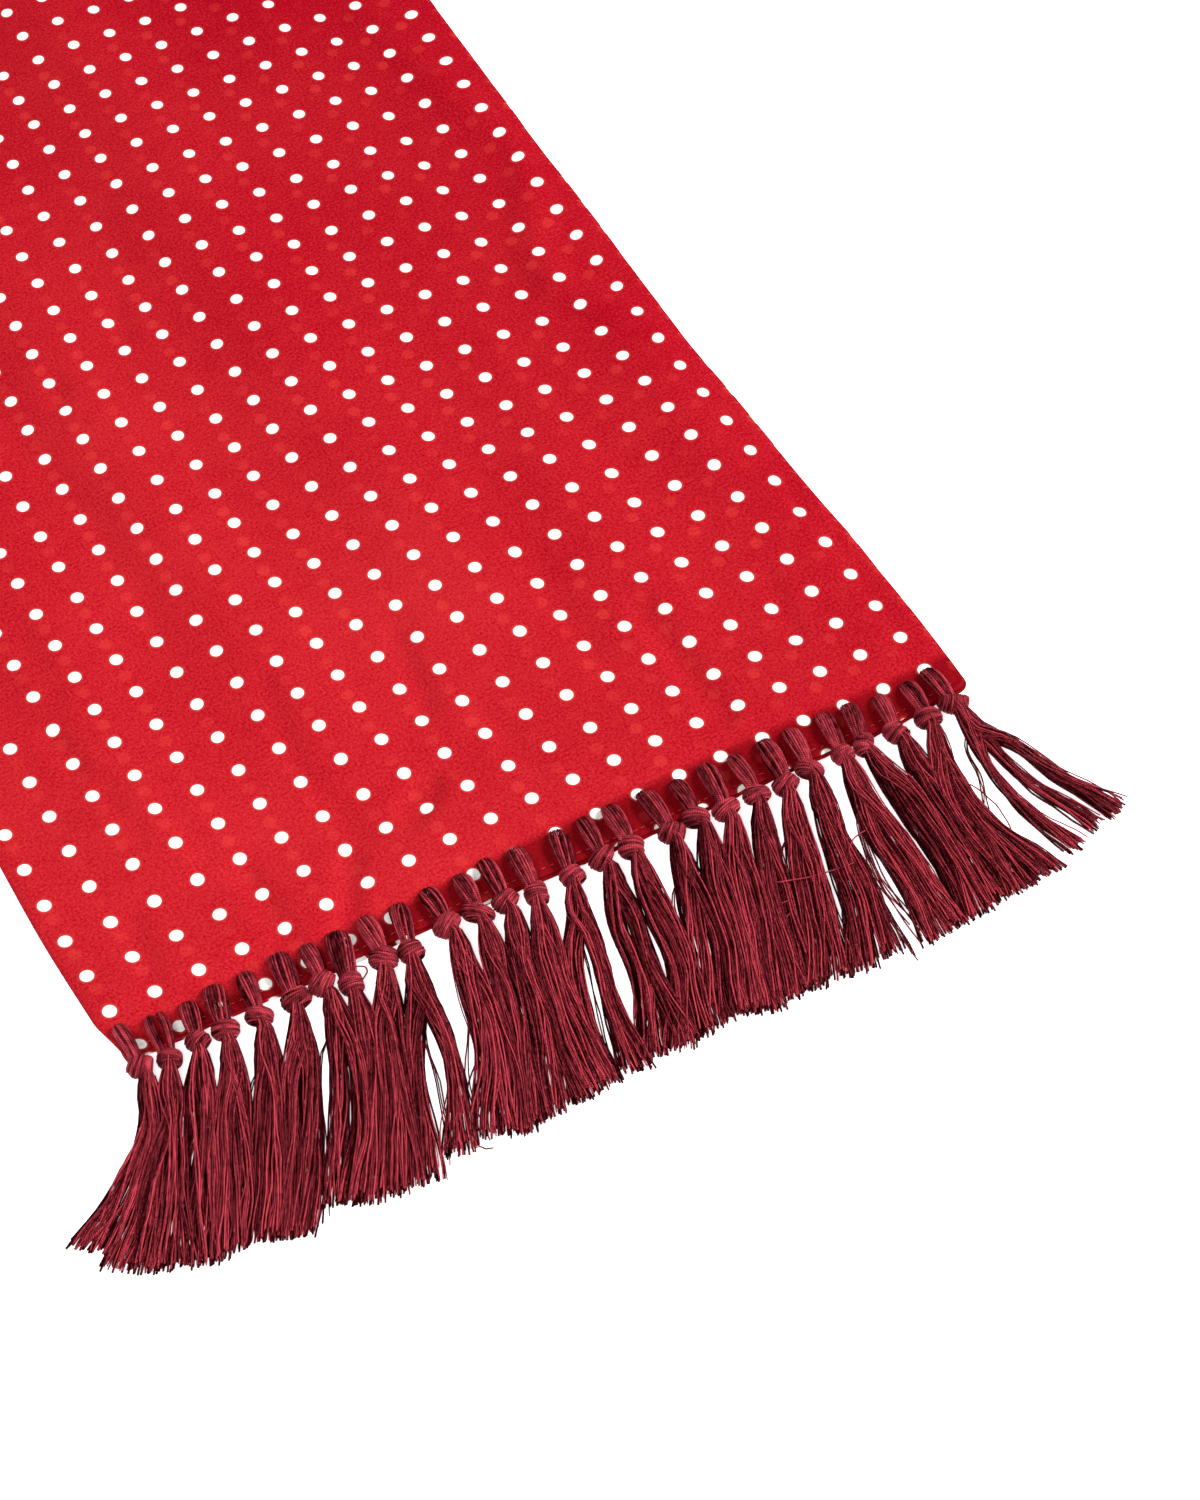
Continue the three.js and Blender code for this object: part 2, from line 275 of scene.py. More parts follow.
# The two layers, the turned-in hems between them, and the round of the fold
SILK_THICKNESS = 0.3
LAYER_GAP_EDGE = 0.34
LAYER_GAP_MIDDLE = 1.65
LAYER_GAP_OPENS = 5.0
HEM_FOLD_HEIGHT = 0.4
HEM_FOLD_ENDS = (7, 14)
FOLD_ROUND = 1.4

# The hem: its topstitch draws it in, it is pressed down at each tassel and rises between two
HEM_STITCH_INSET = 2.3
STITCH_DIP = 0.22
STITCH_DIP_WIDTH = 0.45
HEM_WAVE = 0.1
HEM_PUCKER = 0.11
RISE_BETWEEN_TASSELS = 0.28
PRESSED_AT_TASSEL = 0.62


def fold_height(table, across, along):
    """How high the folds of a table stand, or how deep its troughs go."""
    near_across, near_along, _ = turned(across, along)
    height = np.zeros_like(near_across)
    for start_across, start_along, end_across, end_along, top, reach in table:
        way = np.array([end_across - start_across, end_along - start_along])
        beside = near_across - start_across
        ahead = near_along - start_along
        share = np.clip((beside * way[0] + ahead * way[1]) / way.dot(way), 0, 1)
        away = np.hypot(beside - share * way[0], ahead - share * way[1]) / reach
        height = np.maximum(height, top * 0.5 * (1 + np.cos(np.pi * np.clip(away, 0, 1))))
    return height


def slow_waves(across, along, seed, wavelength, count=7):
    """A gentle surface of a few crossing waves, from -1 to 1 or so."""
    dice = np.random.RandomState(seed)
    total = np.zeros_like(across)
    for _ in range(count):
        angle = dice.uniform(0, np.pi)
        length = wavelength * dice.uniform(0.7, 1.6)
        phase = dice.uniform(0, 2 * np.pi)
        distance = across * np.cos(angle) + along * np.sin(angle)
        total += np.sin(2 * np.pi * distance / length + phase)
    return total / math.sqrt(count)


def to_end(along):
    """Distance from the nearer hem."""
    return np.minimum(along, CLOTH_LENGTH - along)


def to_edge(across):
    """Distance from the nearer long edge."""
    return np.minimum(across, CLOTH_WIDTH - across)


def near_bump(distance, middle, width):
    """A soft bump, one high in the middle."""
    return np.exp(-(((distance - middle) / width) ** 2))


def layer_gap(across, along):
    """Height of the upper layer over the lower one: a round fold, a flat seam and flat hems."""
    from_fold = np.where(along > HALF_LENGTH, CLOTH_WIDTH - across, across)
    fold_round = np.sqrt(1 - (1 - np.clip(from_fold / FOLD_ROUND, 0, 1)) ** 2)
    end = to_end(along)
    open_up = (1 - np.exp(-to_edge(across) / LAYER_GAP_OPENS)) * smooth_step(end, 2, 20)
    hem_fold = smooth_step(end, -0.6, 1.0) * (1 - smooth_step(end, *HEM_FOLD_ENDS))
    closed = LAYER_GAP_EDGE * (0.25 + 0.75 * fold_round)
    opened = (LAYER_GAP_MIDDLE - LAYER_GAP_EDGE) * open_up
    return closed + opened + HEM_FOLD_HEIGHT * hem_fold


def back_height(across, along):
    lift = HEM_LIFT * (1 - smooth_step(to_end(along), HEM_LIFT_FLAT, HEM_LIFT_END))
    return SILK_THICKNESS / 2 + 0.02 + lift


def front_height(across, along):
    """Height of the upper layer: its folds, troughs and ripples, and the puckers of the hem."""
    edge = to_edge(across)
    end = to_end(along)
    ripple = 0.18 * slow_waves(across, along, 5, 60) + 0.06 * slow_waves(across, along, 6, 22)
    folds = fold_height(FOLD_TABLE, across, along) + ripple
    soft = np.maximum(folds - fold_height(TROUGH_TABLE, across, along), -DEEPEST_TROUGH)
    quiet = smooth_step(edge, 0, 8) * smooth_step(end, 3, 15)
    hem_wave = HEM_WAVE * slow_waves(across, along * 0.3, 9, 30, 4) * smooth_step(edge, 0, 12)
    stitch_dip = near_bump(end, HEM_STITCH_INSET, STITCH_DIP_WIDTH) * smooth_step(edge, 0, 4)
    pucker = HEM_PUCKER * slow_waves(across, end * 0.25, 12, 7, 6) * near_bump(end, 3.5, 4.0)
    pressed = PRESSED_AT_TASSEL * near_tassel(turned(across, along)[0])
    pucker = pucker + (RISE_BETWEEN_TASSELS - pressed) * near_bump(end, 5.0, 5.5)
    return (
        back_height(across, along) + layer_gap(across, along) + quiet * soft + hem_wave
        - STITCH_DIP * stitch_dip + pucker * smooth_step(edge, 0, 6)
    )


# Rows of the mesh: close together by both hems, less so in view, and far apart beyond it
def cloth_rows(fine, medium, coarse, fine_to=62.0, shown_to=345.0, coarse_to=1330.0):
    hem = np.array([0, 0.35, 0.8, 1.3, 1.8, 2.3, 2.8, 3.4, 4.1, 5.0, 6.1, 7.3])
    near = np.arange(8.8, fine_to, fine)
    shown = np.arange(near[-1] + medium, shown_to, medium)
    middle = np.arange(shown[-1] + coarse, coarse_to, coarse)
    far = CLOTH_LENGTH - np.concatenate([hem, near])[::-1]
    return np.concatenate([hem, near, shown, middle, far])


def cloth_columns(step):
    edge = np.array([0, 0.15, 0.45, 0.9, 1.6, 2.6])
    middle = np.arange(4.3, CLOTH_WIDTH - 4, step)
    return np.concatenate([edge, middle, CLOTH_WIDTH - edge[::-1]])


def make_mesh(name, points, faces, corner_uv, uv_name="cloth"):
    """An object from points in metres, quads, and a UV place for each corner of a quad."""
    mesh = bpy.data.meshes.new(name)
    mesh.vertices.add(len(points))
    mesh.vertices.foreach_set("co", points.ravel())
    mesh.loops.add(faces.size)
    mesh.loops.foreach_set("vertex_index", faces.ravel())
    mesh.polygons.add(len(faces))
    mesh.polygons.foreach_set("loop_start", np.arange(0, faces.size, 4))
    mesh.polygons.foreach_set("loop_total", np.full(len(faces), 4))
    mesh.polygons.foreach_set("use_smooth", np.ones(len(faces), bool))
    layer = mesh.uv_layers.new(name=uv_name)
    layer.data.foreach_set("uv", corner_uv.ravel())
    mesh.update(calc_edges=True)
    piece = bpy.data.objects.new(name, mesh)
    bpy.context.scene.collection.objects.link(piece)
    return piece


# The back layer stands out a little beyond the front one at the hems and along the seam
BACK_BEYOND_HEM = 0.9
BACK_BEYOND_SEAM = 0.35


def as_rows(*columns):
    """Grids in millimetres as rows in metres."""
    return np.stack(columns, axis=-1).reshape(-1, len(columns)) * MM


def make_layer(name, height, columns, rows, is_back):
    """One layer of the tube, with its own print and the other layer's as UV places."""
    along, across = np.meshgrid(rows, columns, indexing="ij")
    x, y = place(across, along)
    near_across, near_along, sign = turned(across, along)
    beyond_hem = BACK_BEYOND_HEM * (1 - smooth_step(near_along, 0, 8)) if is_back else 0.0
    if is_back:
        uneven = 0.6 + 0.6 * slow_waves(near_across, near_along, 31, 40)
        x = x + sign * BACK_BEYOND_SEAM * smooth_step(near_across, 240, 250) * uneven
        y = y - sign * beyond_hem
    point = np.arange(x.size).reshape(x.shape)
    corners = (point[:-1, :-1], point[:-1, 1:], point[1:, 1:], point[1:, :-1])
    faces = np.stack(corners, axis=-1).reshape(-1, 4)
    on_front = as_rows(across, print_distance(across, along))
    under, under_along = back_print(across, along)
    on_back = as_rows(under, under_along - sign * beyond_hem)
    own_print, other_print = (on_back, on_front) if is_back else (on_front, on_back)
    points = as_rows(x, y, height(across, along))
    piece = make_mesh(name, points, faces, own_print[faces.ravel()])
    other = piece.data.uv_layers.new(name="other_layer")
    other.data.foreach_set("uv", other_print[faces.ravel()].ravel())
    shell = piece.modifiers.new("silk thickness", "SOLIDIFY")
    shell.thickness = SILK_THICKNESS * MM
    shell.offset = 0
    return piece


front = make_layer("front_silk", front_height, cloth_columns(1.8), cloth_rows(1.7, 3.0, 12), False)
back = make_layer("back_silk", back_height, cloth_columns(4), cloth_rows(3.4, 9, 15), True)


# The print: small white dots on a square grid, on plain twill silk dyed a warm red. The
# back layer's dots show faintly through the front one.
DOT_PITCH = 12.5
DOT_RADIUS = 1.8
DOT_BLUR = 0.12
DOT_RIM = 0.4
GHOST_BLUR = 0.5
FIRST_COLUMN = 5.0
FIRST_ROW = 8.33


def node(tree, kind, settings=None, **inputs):
    """A shader node with its settings, and its inputs set to values or linked to sockets."""
    made = tree.nodes.new(kind)
    for key, value in (settings or {}).items():
        setattr(made, key, value)
    for key, value in inputs.items():
        numbered = key[:2] == "in" and key[2:].isdigit()
        socket = made.inputs[int(key[2:]) if numbered else key.replace("_", " ")]
        if isinstance(value, bpy.types.NodeSocket):
            tree.links.new(value, socket)
        else:
            socket.default_value = value
    return made


def maths(tree, operation, first, second=0.0):
    settings = {"operation": operation}
    return node(tree, "ShaderNodeMath", settings, in0=first, in1=second).outputs[0]


def mixed(tree, share, first, second):
    """A colour between first and second by share."""
    inputs = {"in0": share, "in6": first, "in7": second}
    return node(tree, "ShaderNodeMix", {"data_type": "RGBA"}, **inputs).outputs[2]


def new_group(name, inputs, outputs):
    """An empty node group with inputs (name, kind, value) and outputs (name, kind)."""
    tree = bpy.data.node_groups.new(name, "ShaderNodeTree")
    for label, kind, value in inputs:
        socket = tree.interface.new_socket(label, in_out="INPUT", socket_type=kind)
        if value is not None:
            socket.default_value = value
    for label, kind in outputs:
        tree.interface.new_socket(label, in_out="OUTPUT", socket_type=kind)
    given = tree.nodes.new("NodeGroupInput").outputs
    return tree, given, tree.nodes.new("NodeGroupOutput").inputs


# Colours of the print, as display values from 0 to 255
SILK_DARK = (146, 0, 22)
SILK_LIGHT = (180, 38, 42)
# The hem band colour is partly the doubled cloth and partly painted shade
SILK_DOUBLED_AND_SHADED = (104, 0, 8)
SILK_GHOST = (206, 62, 54)
SILK_RIM = (196, 80, 64)
DOT_WHITE = (238, 236, 232)


def dot_print_group():
    """A square grid of round dots on the cloth, as masks: the dot, and a soft rim with it."""
    number = "NodeSocketFloat"
    tree, given, out = new_group("dot_print", [
        ("Place", "NodeSocketVector", None),
        ("Pitch", number, DOT_PITCH * MM),
        ("First Column", number, FIRST_COLUMN * MM),
        ("First Row", number, FIRST_ROW * MM),
        ("Radius", number, DOT_RADIUS * MM),
        ("Blur", number, DOT_BLUR * MM),
        ("Rim", number, DOT_RIM * MM),
    ], [("Dot", number), ("Rim", number)])
    parts = node(tree, "ShaderNodeSeparateXYZ", Vector=given["Place"])

    def from_centre(axis, first):
        cell = maths(tree, "DIVIDE", maths(tree, "SUBTRACT", axis, first), given["Pitch"])
        offset = maths(tree, "SUBTRACT", cell, maths(tree, "ROUND", cell))
        return maths(tree, "MULTIPLY", offset, given["Pitch"])

    u = from_centre(parts.outputs[0], given["First Column"])
    v = from_centre(parts.outputs[1], given["First Row"])
    squares = maths(tree, "ADD", maths(tree, "MULTIPLY", u, u), maths(tree, "MULTIPLY", v, v))
    away = maths(tree, "SQRT", squares)

    def inside(radius, soft):
        """From 1 inside a radius to 0 outside it, with a soft edge."""
        settings = {"interpolation_type": "SMOOTHSTEP"}
        low = maths(tree, "SUBTRACT", radius, soft)
        high = maths(tree, "ADD", radius, soft)
        limits = {"From_Min": low, "From_Max": high, "To_Min": 1.0, "To_Max": 0.0}
        return node(tree, "ShaderNodeMapRange", settings, Value=away, **limits).outputs[0]

    tree.links.new(inside(given["Radius"], given["Blur"]), out["Dot"])
    rim = maths(tree, "ADD", given["Radius"], given["Rim"])
    tree.links.new(inside(rim, given["Rim"]), out["Rim"])
    return tree


dot_print = dot_print_group()


def new_material(name, **inputs):
    """A material with one Principled shader, whose inputs are set to the given values."""
    material = bpy.data.materials.new(name)
    material.use_nodes = True
    tree = material.node_tree
    tree.nodes.clear()
    shader = node(tree, "ShaderNodeBsdfPrincipled", **inputs)
    out = tree.nodes.new("ShaderNodeOutputMaterial")
    tree.links.new(shader.outputs[0], out.inputs["Surface"])
    return material, tree, shader


def linear(red, green, blue):
    """A display colour from 0 to 255 as the linear values that shaders use."""
    def channel(value):
        value = value / 255
        return value / 12.92 if value <= 0.04045 else ((value + 0.055) / 1.055) ** 2.4
    return (channel(red), channel(green), channel(blue), 1.0)


def silk_material(name):
    finish = {
        "Roughness": 0.5,
        "Specular_IOR_Level": 0.035,
        "Specular_Tint": (1.0, 0.45, 0.45, 1.0),
        "Sheen_Weight": 0.02,
        "Sheen_Roughness": 0.4,
        "Sheen_Tint": (1.0, 0.4, 0.4, 1.0),
    }
    material, tree, shader = new_material(name, **finish)
    on_cloth = node(tree, "ShaderNodeUVMap", {"uv_map": "cloth"}).outputs[0]
    on_other = node(tree, "ShaderNodeUVMap", {"uv_map": "other_layer"}).outputs[0]

    def noise(scale, detail, roughness=0.6):
        values = {"Vector": on_cloth, "Scale": scale, "Detail": detail, "Roughness": roughness}
        return node(tree, "ShaderNodeTexNoise", **values).outputs[0]

    def ramp(value, start, end, low=0.0, high=1.0):
        values = {"From_Min": start, "From_Max": end, "To_Min": low, "To_Max": high}
        return node(tree, "ShaderNodeMapRange", Value=value, **values).outputs[0]

    # Painted shade: the red is darker towards the seam edge and away from the two ends, where less
    # light falls
    place_on_cloth = node(tree, "ShaderNodeSeparateXYZ", Vector=on_cloth).outputs
    from_middle = maths(tree, "SUBTRACT", place_on_cloth[1], HALF_LENGTH * MM)
    from_middle = maths(tree, "ABSOLUTE", from_middle)
    shade_by_seam = ramp(place_on_cloth[0], 0.14, 0.25, 0.0, -0.24)
    shade_by_end = ramp(from_middle, 0.36, 0.6, -0.2, 0.0)
    painted_falloff = maths(tree, "ADD", shade_by_seam, shade_by_end)

    # Clouds, the grain of the twill and broad patches
    grain = noise(1350.0, 2.0, 0.7)
    clouds = maths(tree, "MULTIPLY", noise(150.0, 3.0), 0.12)
    tone = maths(tree, "ADD", clouds, maths(tree, "MULTIPLY", grain, 0.72))
    patches = maths(tree, "MULTIPLY", noise(16.0, 2.0, 0.5), 0.16)
    tone = maths(tree, "ADD", tone, patches)
    # The random tone, darkened further by the painted shade of the falloff
    tone = maths(tree, "ADD", ramp(tone, 0.36, 0.64), painted_falloff)
    red = mixed(tree, tone, linear(*SILK_DARK), linear(*SILK_LIGHT))

    # The turned-in hem band is darker: partly because the cloth lies double, partly painted shade
    # of the tassels and puckers over it
    doubled_and_shaded = ramp(from_middle, 0.6890, 0.6915, 0.0, 0.75)
    red = mixed(tree, doubled_and_shaded, red, linear(*SILK_DOUBLED_AND_SHADED))

    # The other layer's dots show through unevenly
    shows = ramp(noise(32.0, 1.0), 0.4, 0.62, 0.04, 0.24)
    places = {"Place": on_other, "Blur": GHOST_BLUR * MM}
    ghost = node(tree, "ShaderNodeGroup", {"node_tree": dot_print}, **places)
    seen = maths(tree, "MULTIPLY", ghost.outputs["Dot"], shows)
    red = mixed(tree, seen, red, linear(*SILK_GHOST))

    dots = node(tree, "ShaderNodeGroup", {"node_tree": dot_print}, Place=on_cloth)
    rim = maths(tree, "MULTIPLY", dots.outputs["Rim"], 0.4)
    red = mixed(tree, rim, red, linear(*SILK_RIM))
    colour = mixed(tree, dots.outputs["Dot"], red, linear(*DOT_WHITE))
    tree.links.new(colour, shader.inputs["Base Color"])
    bump = node(tree, "ShaderNodeBump", Height=grain, Strength=0.1, Distance=0.0002)
    tree.links.new(bump.outputs[0], shader.inputs["Normal"])
    return material


front.data.materials.append(silk_material("front silk"))
back.data.materials.append(silk_material("back silk"))

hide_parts("front_layer")
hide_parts("back_layer")
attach(front, "root")
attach(back, "root")


# Tassels: bundles of twisted burgundy silk thread, drawn with a hook through both layers
# just inside the hem, tied in an overhand knot outside it and cut level.
THREAD_RADIUS = 0.27
LOOP_THREAD = THREAD_RADIUS * 1.08
KNOT_THREAD = THREAD_RADIUS * 1.15
UNDER_THREAD = THREAD_RADIUS * 1.25
STRAY_THREAD = THREAD_RADIUS * 0.95
KNOT_HEIGHT = 3.1
KNOT_HALF_DEPTH = 2.7
WINDING_PITCH = 0.46

# Threads drawn for each one in the table, the fewest of a full part, the share that lies
# under the locks, the size of a lock, where the bends are, and how high the parts lie
FULLNESS = {"near": 3.0, "far": 1.5}
FEW_THREADS = 5
UNDER_SHARE = 0.45
THREADS_IN_LOCK = 4.5
BEND_NEAR_AT = 0.28
BEND_FAR_AT = 0.64
REST_HEIGHT = 0.35
PILE_STEP = 0.75
UP = np.array([0, 0, 1.0])

# The loose threads hang in parts. For each part: tassel, threads, start to the side of the
# knot, length, lean in degrees, bend near the knot, bend near the ends, width near the knot,
# in the middle and at the ends, layer of the pile
SKIRT_TABLE = [
    (1, 22, 1, 48, -43, 4.1, 3.7, 3.7, 6.4, 11.2, 0),
    (1, 14, 1.2, 52, -34, 4, 2.7, 3.2, 5.9, 8.5, 0),
    (2, 22, -2.6, 53, -31, 0.7, -0.1, 4.3, 6.4, 8, 1),
    (2, 15, -1.1, 53, -28, 1.8, 1.3, 2.7, 4.3, 5.9, 1),
    (3, 18, -2, 57, -28, 0.3, 0.3, 4.3, 5.9, 6.4, 1),
    (3, 16, 0.2, 57, -25, 0.9, 0.4, 3.7, 5.3, 6.4, 0),
    (3, 4, -1.6, 55, -18, -2.8, -1.1, 1.1, 1.6, 2.1, 2),
    (4, 18, -2, 58, -27, 0.3, 0, 3.7, 5.3, 5.9, 1),
    (4, 20, 0.2, 57, -25, 2.5, 2.1, 3.2, 4.8, 5.9, 0),
    (5, 20, -0.6, 58, -26, 0.1, 0.3, 3.7, 4.8, 6.4, 0),
    (5, 16, 0.5, 58, -23, 1.7, 1.3, 2.7, 4.3, 5.3, 1),
    (5, 2, -1.5, 55, -27, -1.9, -0.6, 0.5, 0.8, 1.1, 0),
    (6, 18, -2.5, 61, -27, -0.9, 0.3, 3.2, 4.8, 5.3, 1),
    (6, 20, -0.8, 61, -25, 2.7, 2, 3.2, 4.8, 5.3, 0),
    (7, 14, 0.1, 58, -26, 0.8, 1.6, 3.2, 3.7, 6.4, 0),
    (7, 22, 1.7, 59, -23, 4.2, 4, 3.7, 5.3, 6.4, 1),
    (7, 2, -0.6, 60, -27, -1.5, -0.2, 0.5, 0.8, 1.1, 0),
    (8, 20, -1.3, 57, -23, 1.8, 2, 3.2, 4.8, 6.4, 0),
    (8, 18, 0.3, 56, -20, 3, 2, 2.7, 4.3, 5.9, 0),
    (9, 20, -2.4, 62, -24, -1.2, 0.7, 3.7, 4.8, 6.4, 1),
    (9, 18, -0.6, 61, -22, 0.5, 0.7, 3.2, 4.3, 5.9, 1),
    (9, 2, -3.4, 60, -25, -2.4, 0, 0.5, 0.8, 1.1, 0),
    (10, 18, -2.6, 60, -23, -1.2, -0.5, 3.7, 4.3, 6.9, 0),
    (10, 20, -0.4, 55, -16, 2.3, 2.9, 3.2, 3.7, 8.5, 1),
    (10, 3, -1.5, 56, -19, 0.1, 1.4, 0.8, 1.3, 2.1, 0),
    (11, 20, 0.5, 58, -20, 1.8, 2.8, 4.3, 5.3, 6.9, 1),
    (11, 16, 1.9, 58, -16, 2.5, 2.5, 3.2, 4.3, 5.3, 0),
    (11, 2, 0.3, 59, -21, 1.6, -1.7, 0.5, 1.1, 1.6, 0),
    (12, 20, -0.6, 60, -19, 0.8, 1.4, 3.7, 4.8, 6.4, 0),
    (12, 18, 0.8, 59, -16, 1.3, 1.5, 3.2, 4.3, 5.9, 1),
    (13, 20, -0.2, 59, -19, -0.5, 0.9, 3.7, 4.8, 6.4, 1),
    (13, 18, 1.1, 57, -15, 0.3, 0.9, 3.2, 4.3, 5.9, 0),
    (14, 20, -2.7, 56, -15, -1.1, -1.5, 4.3, 4.8, 6.4, 1),
    (14, 18, -0.7, 53, -12, -0.2, -1.6, 3.2, 4.3, 6.4, 1),
    (15, 19, -3.1, 57, -19, -2.7, -3.4, 3.7, 4.8, 7.5, 0),
    (15, 19, -0.8, 55, -13, 1.1, -1.2, 3.2, 3.7, 8, 1),
    (15, 2, -2, 55, -17, -0.6, -1.1, 0.5, 0.8, 1.1, 0),
    (16, 22, 0.2, 56, -18, 0.1, 1.7, 4.8, 5.3, 7.5, 0),
    (16, 16, 2.7, 55, -11, -0.1, -1.6, 3.2, 3.7, 6.9, 1),
    (17, 22, -0.4, 57, -19, 1.8, 4.1, 3.7, 5.3, 8, 0),
    (17, 16, 1.1, 55, -13, 1.5, 2.1, 2.7, 3.7, 6.4, 1),
    (18, 18, -1.2, 54, -19, 0, 0.8, 4.3, 5.3, 7.5, 0),
    (18, 18, 0.3, 53, -15, 1.4, 2.3, 3.2, 3.7, 5.9, 1),
    (18, 3, -1.9, 54, -22, -2.3, 0.5, 1.1, 1.3, 2.1, 0),
    (19, 20, 0.3, 56, -20, -0.5, 0.9, 4.3, 4.8, 6.9, 1),
    (19, 18, 2.3, 56, -18, 1.1, 1.2, 3.2, 4.3, 5.9, 0),
    (20, 20, -1, 57, -21, -0.7, -0.3, 4.3, 4.8, 6.9, 0),
    (20, 18, 1.1, 56, -19, 0.1, 0.2, 3.2, 4.3, 6.4, 1),
    (21, 20, -2, 57, -22, -0.9, -0.3, 3.7, 4.3, 5.9, 1),
    (21, 18, -0.2, 56, -20, -0.2, 0.2, 3.2, 3.7, 5.3, 0),
    (22, 20, -1.9, 57, -24, 0.1, 0.9, 3.7, 4.3, 6.4, 0),
    (22, 16, 0.1, 56, -19, 0.5, 1.3, 3.2, 3.7, 6.4, 1),
    (22, 2, -2.3, 56, -28, -1.9, -0.4, 0.5, 0.8, 1.1, 0),
    (23, 19, -0.8, 59, -19, 0.9, 1.4, 4.3, 5.3, 7.5, 1),
    (23, 17, 0.6, 56, -12, 0, 1.1, 3.2, 3.7, 6.9, 0),
    (23, 3, 0.7, 58, -7, -0.1, -0.9, 0.8, 1.3, 2.1, 0),
    (24, 19, -0.9, 57, -8, -1.5, -0.3, 3.7, 4.3, 6.4, 0),
    (24, 15, 0.2, 56, -3, 0.2, 0.2, 3.2, 4.3, 5.9, 1),
    (24, 4, -1.4, 52, -11, -2.2, -3.9, 0.8, 2.7, 3.7, 0),
    (25, 22, -0.1, 56, -5, 2, 2.3, 4.8, 4.8, 6.4, 0),
    (25, 16, 1.1, 56, -1, 3.3, 2.1, 3.7, 4.3, 5.9, 1),
    (26, 22, 0.7, 53, -7, 0.7, 1.3, 4.8, 5.3, 6.9, 0),
    (26, 14, 2.2, 54, -2, 0.4, 0.7, 3.2, 3.7, 5.3, 0),
    (27, 20, -1.7, 54, -6, -4.2, -3.9, 4.8, 6.4, 8.5, 1),
    (27, 19, 0.3, 53, 1, -3.8, -4.2, 3.2, 4.8, 9.1, 0),
    (28, 14, 1.7, 50, 21, 0.9, -0.8, 2.7, 3.2, 6.4, 1),
    (28, 9, 1, 49, 13, -2, -2.5, 2.1, 2.7, 4.8, 0),
    (28, 12, -0.9, 51, 5, -3.8, -3.3, 2.1, 2.7, 5.9, 0),
    (28, 3, -1.2, 30, -17, 0.9, 0.8, 0.8, 1.3, 2.1, 0),
]


def run_along(path):
    """Distance along a path at each of its points."""
    return np.concatenate([[0], np.cumsum(np.linalg.norm(np.diff(path, axis=0), axis=1))])


def through(points, count):
    """A smooth path of count points through the given ones."""
    points = np.array(points, float)
    run = run_along(points)
    at = np.linspace(0, run[-1], count)
    columns = smooth_rows(np.column_stack([run, points]), at)
    return np.stack(columns, axis=-1)


class Bundle:
    """Threads gathered into one mesh."""

    def __init__(self):
        self.points, self.faces, self.corner_uv, self.tone = [], [], [], []
        self.count = 0

    def thread(self, path, across, radius, tone, sides=4, closed=False):
        """Adds a round thread along path; across is a direction that it never runs along."""
        path = np.asarray(path, float)
        ahead = np.roll(path, -1, axis=0) - np.roll(path, 1, axis=0)
        tone = np.broadcast_to(tone, len(path))
        thick = np.full(len(path), radius)
        if not closed:
            ahead[0] = path[1] - path[0]
            ahead[-1] = path[-1] - path[-2]
        ahead /= np.linalg.norm(ahead, axis=1, keepdims=True)
        if not closed:
            path = np.vstack([path, path[-1] + 0.5 * radius * ahead[-1]])
            ahead = np.vstack([ahead, ahead[-1]])
            tone = np.append(tone, tone[-1])
            thick = np.append(thick, 0.15 * radius)
        out = across - ahead * (ahead @ across)[:, None]
        out /= np.linalg.norm(out, axis=1, keepdims=True)
        up = np.cross(ahead, out)
        angle = np.arange(sides) * 2 * np.pi / sides
        spoke = np.cos(angle)[:, None] * out[:, None] + np.sin(angle)[:, None] * up[:, None]
        ring = path[:, None] + thick[:, None, None] * spoke
        rows = len(path)
        corner = np.arange(rows * sides).reshape(rows, sides) + self.count
        length = run_along(path)
        if closed:
            corner = np.vstack([corner, corner[:1]])
            length = np.append(length, 2 * length[-1] - length[-2])
        beside = np.roll(corner, -1, axis=1)
        quads = np.stack([corner[:-1], beside[:-1], beside[1:], corner[1:]], axis=-1)
        uv = np.empty(quads.shape + (2,))
        uv[..., 0] = (np.arange(sides)[:, None] + np.array([0, 1, 1, 0])) / sides
        start, end = length[:-1], length[1:]
        uv[..., 1] = np.stack([start, start, end, end], axis=-1)[:, None]
        self.faces.append(quads.reshape(-1, 4))
        self.corner_uv.append(uv.reshape(-1, 2))
        self.points.append(ring.reshape(-1, 3))
        self.tone.append(np.repeat(tone, sides))
        self.count += rows * sides

    def piece(self, name, turn=1.0):
        """The threads as one object, turned half round at a turn of -1."""
        points = np.concatenate(self.points) * MM * np.array([turn, turn, 1.0])
        faces = np.concatenate(self.faces)
        made = make_mesh(name, points, faces, np.concatenate(self.corner_uv), "thread")
        tone = made.data.attributes.new("tone", "FLOAT", "POINT")
        tone.data.foreach_set("value", np.concatenate(self.tone))
        return made


# How far along the loop, and its width there as a share of the whole
LOOP_WIDTHS = np.array([
    (0, 0.15), (0.1, 0.3), (0.2, 0.72), (0.32, 0.95), (0.5, 1), (0.75, 0.82), (1, 0.5),
])


